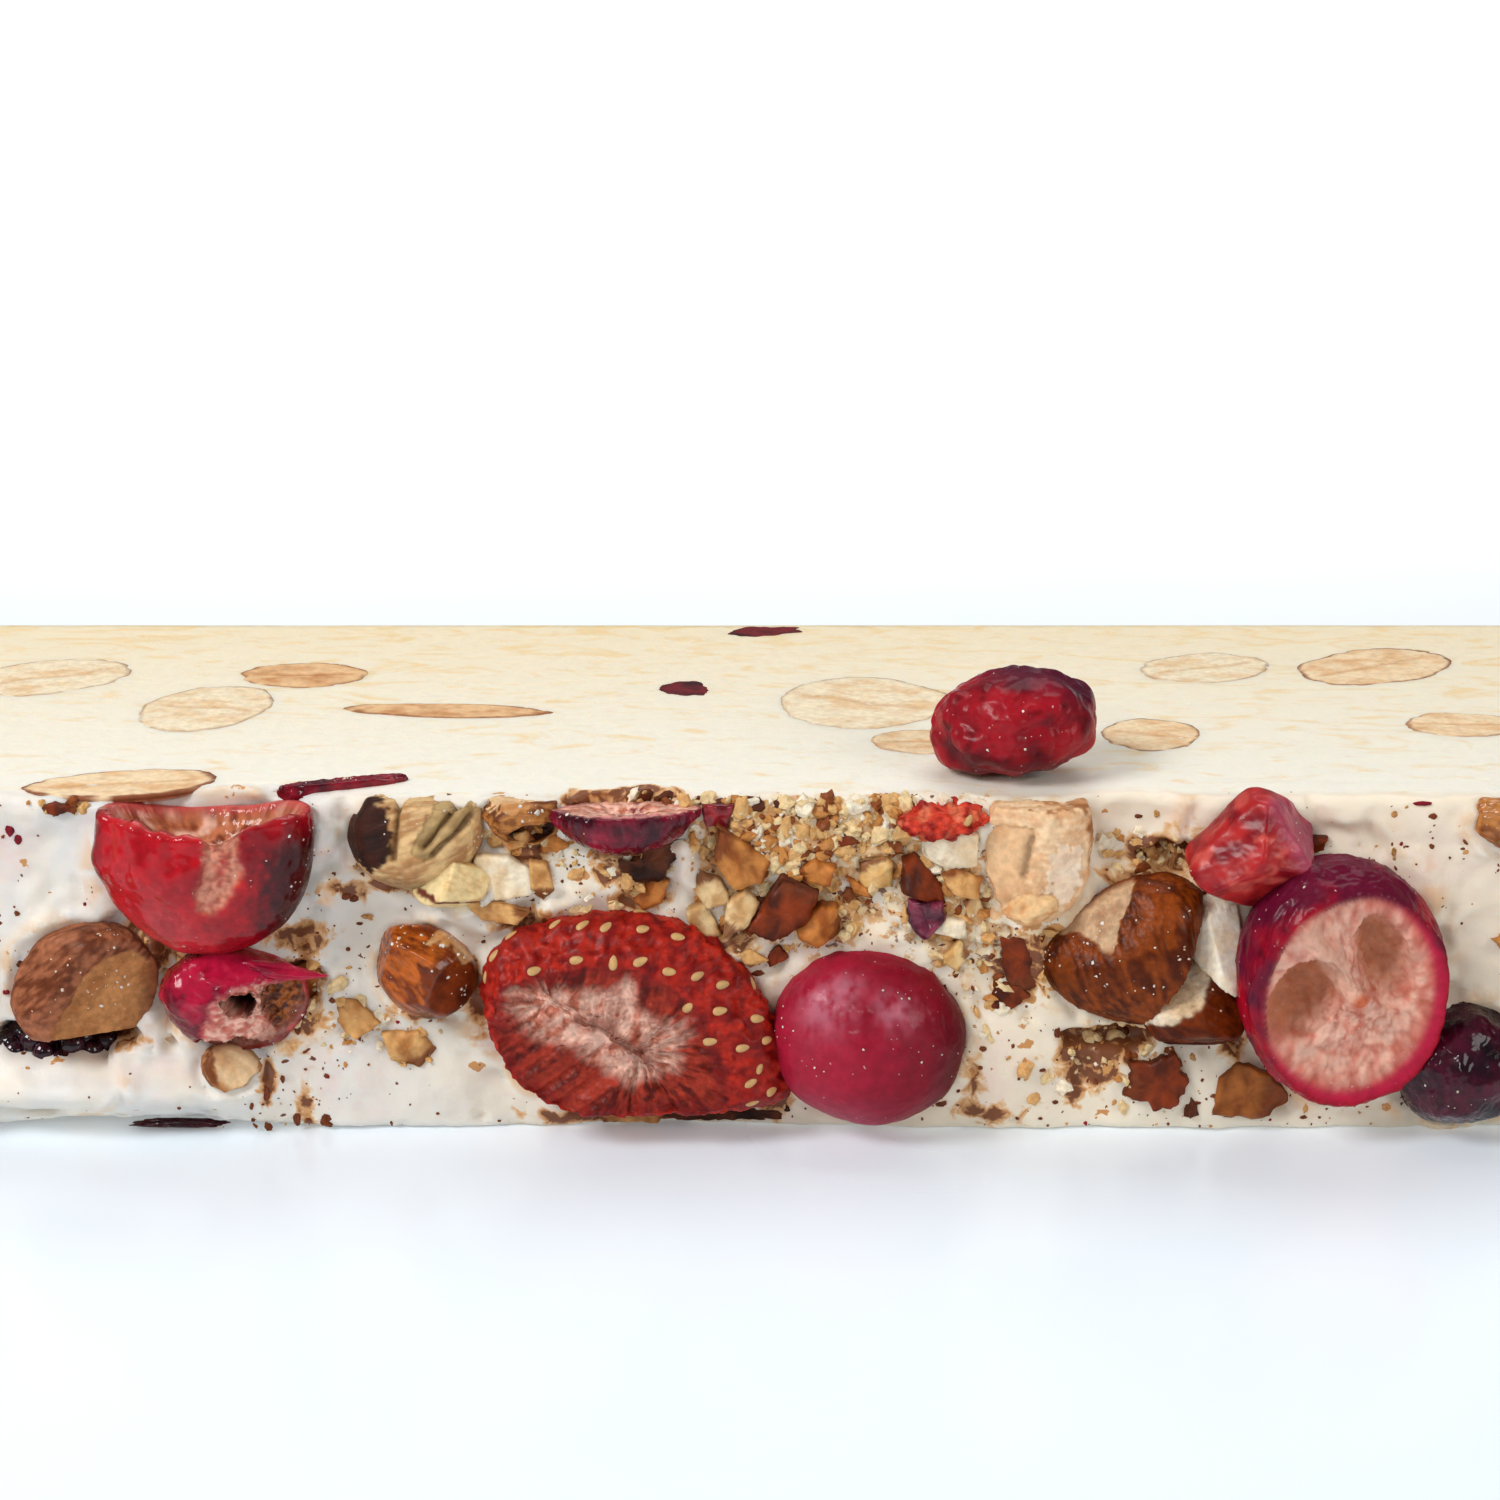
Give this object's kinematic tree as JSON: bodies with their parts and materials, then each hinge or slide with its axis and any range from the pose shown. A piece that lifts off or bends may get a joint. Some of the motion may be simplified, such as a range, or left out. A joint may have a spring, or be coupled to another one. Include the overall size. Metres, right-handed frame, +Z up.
{
  "type": "nougat bar",
  "caption": "Slice of soft white nougat lying on its cut side, one long side pressed with almonds, nut pieces and freeze-dried berries.",
  "frame": {"origin": "middle of the flat underside of the nougat block", "axes": "+X along the bar, +Y from the side with the pressed-in nuts and fruit to the plain back, +Z up"},
  "size_m": [0.15, 0.0518, 0.0321],
  "materials": {
    "nougat": "soft satin, chewy",
    "cranberry": "satin freeze-dried skin with a pale bloom, pink-tan flesh",
    "dark_cranberry": "wrinkled, moist gloss",
    "bramble": "bumpy, moist gloss",
    "strawberry": "matte freeze-dried flesh, pale seeds",
    "candied_fruit": "angular, sugar-glazed gloss",
    "almond_skin": "ribbed brown skin, cream where broken",
    "nut_honey": "roasted, honey-glazed",
    "nut_pale": "matte, crumbly broken nut"
  },
  "bodies": {
    "root": {"nougat": "nougat", "cranberry_open": "cranberry", "fruit_chunk": "candied_fruit", "cranberry_whole": "cranberry", "strawberry_slice": "strawberry", "nut_cream": "nut_pale", "almond_big": "almond_skin", "almond_small": "almond_skin", "cranberry_dark": "dark_cranberry", "nut_pale": "nut_pale", "strawberry_bit": "strawberry", "cranberry_cup": "cranberry", "cranberry_strip": "dark_cranberry", "almond_left": "almond_skin", "bramble_berry": "bramble", "cranberry_torn": "cranberry", "nut_under_cranberry": "nut_pale", "nut_layered": "nut_pale", "nut_yellow": "nut_pale", "nut_honey": "nut_honey", "cranberry_boat": "cranberry", "almond_honey": "nut_honey", "nut_right_edge": "nut_honey", "cranberry_sliver": "dark_cranberry", "cranberry_far_left": "cranberry", "nut_far_left": "nut_pale", "almond_far_left": "almond_skin", "fruit_far_left": "candied_fruit", "cranberry_far_right": "cranberry", "strawberry_far_right": "strawberry", "almond_far_right": "almond_skin", "cranberry_on_top": "dark_cranberry", "almond_cut_01": "nut_pale", "nut_cut_02": "nut_pale", "almond_cut_03": "nut_pale", "nut_cut_04": "nut_pale", "almond_cut_05": "nut_pale", "fruit_cut_06": "dark_cranberry", "almond_cut_07": "nut_pale", "nut_cut_08": "nut_pale", "almond_cut_09": "nut_pale", "nut_cut_10": "nut_pale", "almond_cut_11": "nut_pale", "almond_cut_12": "nut_pale", "fruit_cut_13": "dark_cranberry", "almond_cut_14": "nut_pale", "nut_cut_15": "nut_pale", "almond_cut_16": "nut_pale", "almond_cut_17": "nut_pale", "almond_cut_18": "nut_pale", "almond_cut_19": "nut_pale", "almond_cut_20": "nut_pale"}
  },
  "joints": []
}
